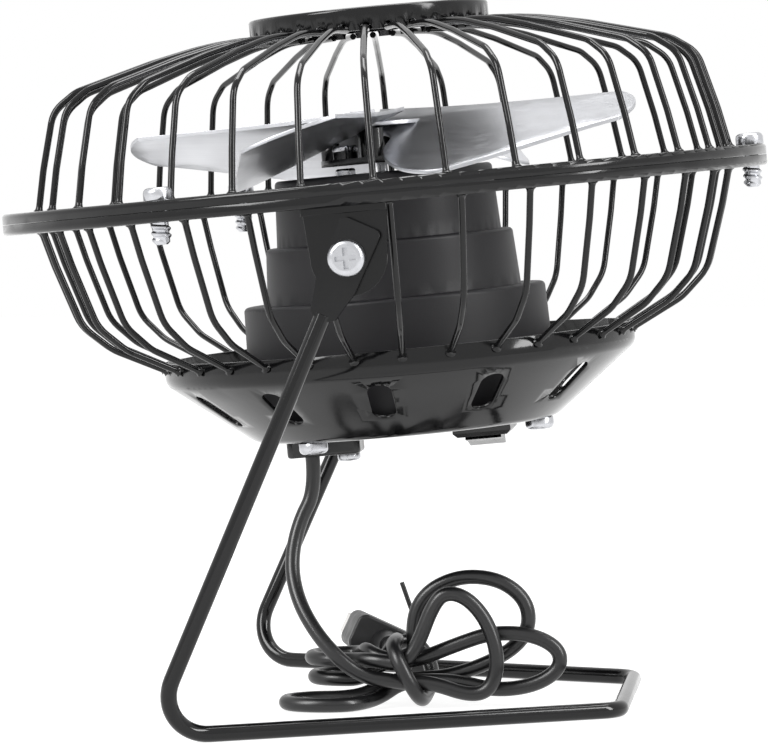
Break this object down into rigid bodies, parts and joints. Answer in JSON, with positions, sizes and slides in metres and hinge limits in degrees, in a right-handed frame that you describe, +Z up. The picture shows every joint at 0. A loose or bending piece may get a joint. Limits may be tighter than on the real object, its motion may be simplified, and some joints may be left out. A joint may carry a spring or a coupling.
{
  "type": "desk fan",
  "caption": "Small metal desk fan: round wire guard tilting on a bent-wire stand, with a rocker switch, a motor in a stepped cover and a short tied USB cord.",
  "frame": {"origin": "on the table, under the middle of the fan's ring, at the centre of the box of the fan without its cord", "axes": "+Z up; +Y along the tilt pivots, away from the pictured side; +X towards the stand's crossbar"},
  "size_m": [0.1448, 0.146, 0.1332],
  "materials": {
    "black_paint": "gloss black enamel",
    "grey_cover": "satin dark grey",
    "zinc": "bright zinc",
    "blade_metal": "satin",
    "black_plastic": "moulded black",
    "plug_plastic": "satin black",
    "cord_jacket": "satin black",
    "lead_sleeve": "thin coloured sleeve",
    "tie_plastic": "plastic over wire",
    "steel": "machined",
    "copper": "enamelled copper",
    "bronze": "sintered",
    "ferrite": "sintered",
    "nylon": "natural",
    "shell_steel": "nickel plated"
  },
  "bodies": {
    "stand": {"stand_wire": "black_paint", "cord_lead": "cord_jacket", "cord_hank": "cord_jacket", "twist_tie": "tie_plastic", "usb_overmold": "plug_plastic", "usb_shell": "shell_steel", "usb_tongue": "plug_plastic"},
    "head": {"brushes": "copper", "clamp_screw": "zinc", "cord_clamp": "black_plastic", "cord_stub": "cord_jacket", "flange_screws": "zinc", "front_disc": "black_paint", "front_flange": "black_paint", "front_wires": "black_paint", "hub_ring": "black_paint", "inner_leads": "lead_sleeve", "magnets": "ferrite", "motor_bushes": "bronze", "motor_can": "steel", "motor_cover": "grey_cover", "motor_end_cap": "nylon", "motor_screws": "zinc", "pan_screws": "zinc", "pivot_ears": "black_paint", "pivot_nuts": "zinc", "pivot_screws": "zinc", "pivot_washers": "zinc", "rear_flange": "black_paint", "rear_pan": "black_paint", "rear_wires": "black_paint", "switch_body": "black_plastic", "switch_terminals": "copper"},
    "rotor": {"shaft": "steel", "armature_core": "steel", "armature_windings": "copper", "commutator": "copper", "blade": "blade_metal", "blade_hub": "black_plastic", "hub_screws": "zinc"},
    "rocker": {"switch_rocker": "black_plastic"}
  },
  "joints": [
    {"name": "head_tilt", "type": "hinge", "parent": "stand", "child": "head", "pos_m": [0.00086, 0, 0.08648], "axis": [0, 1, 0], "range_deg": [-72, 70], "deforming": ["cord_lead"]},
    {"name": "propeller_spin", "type": "hinge", "parent": "head", "child": "rotor", "pos_m": [0, 0, 0.0976], "axis": [-0.0767, 0, 0.9971], "continuous": true},
    {"name": "switch_rock", "type": "hinge", "parent": "head", "child": "rocker", "pos_m": [0.0183, 0, 0.05263], "axis": [0.9971, 0, 0.0767], "range_deg": [0, 20]}
  ]
}
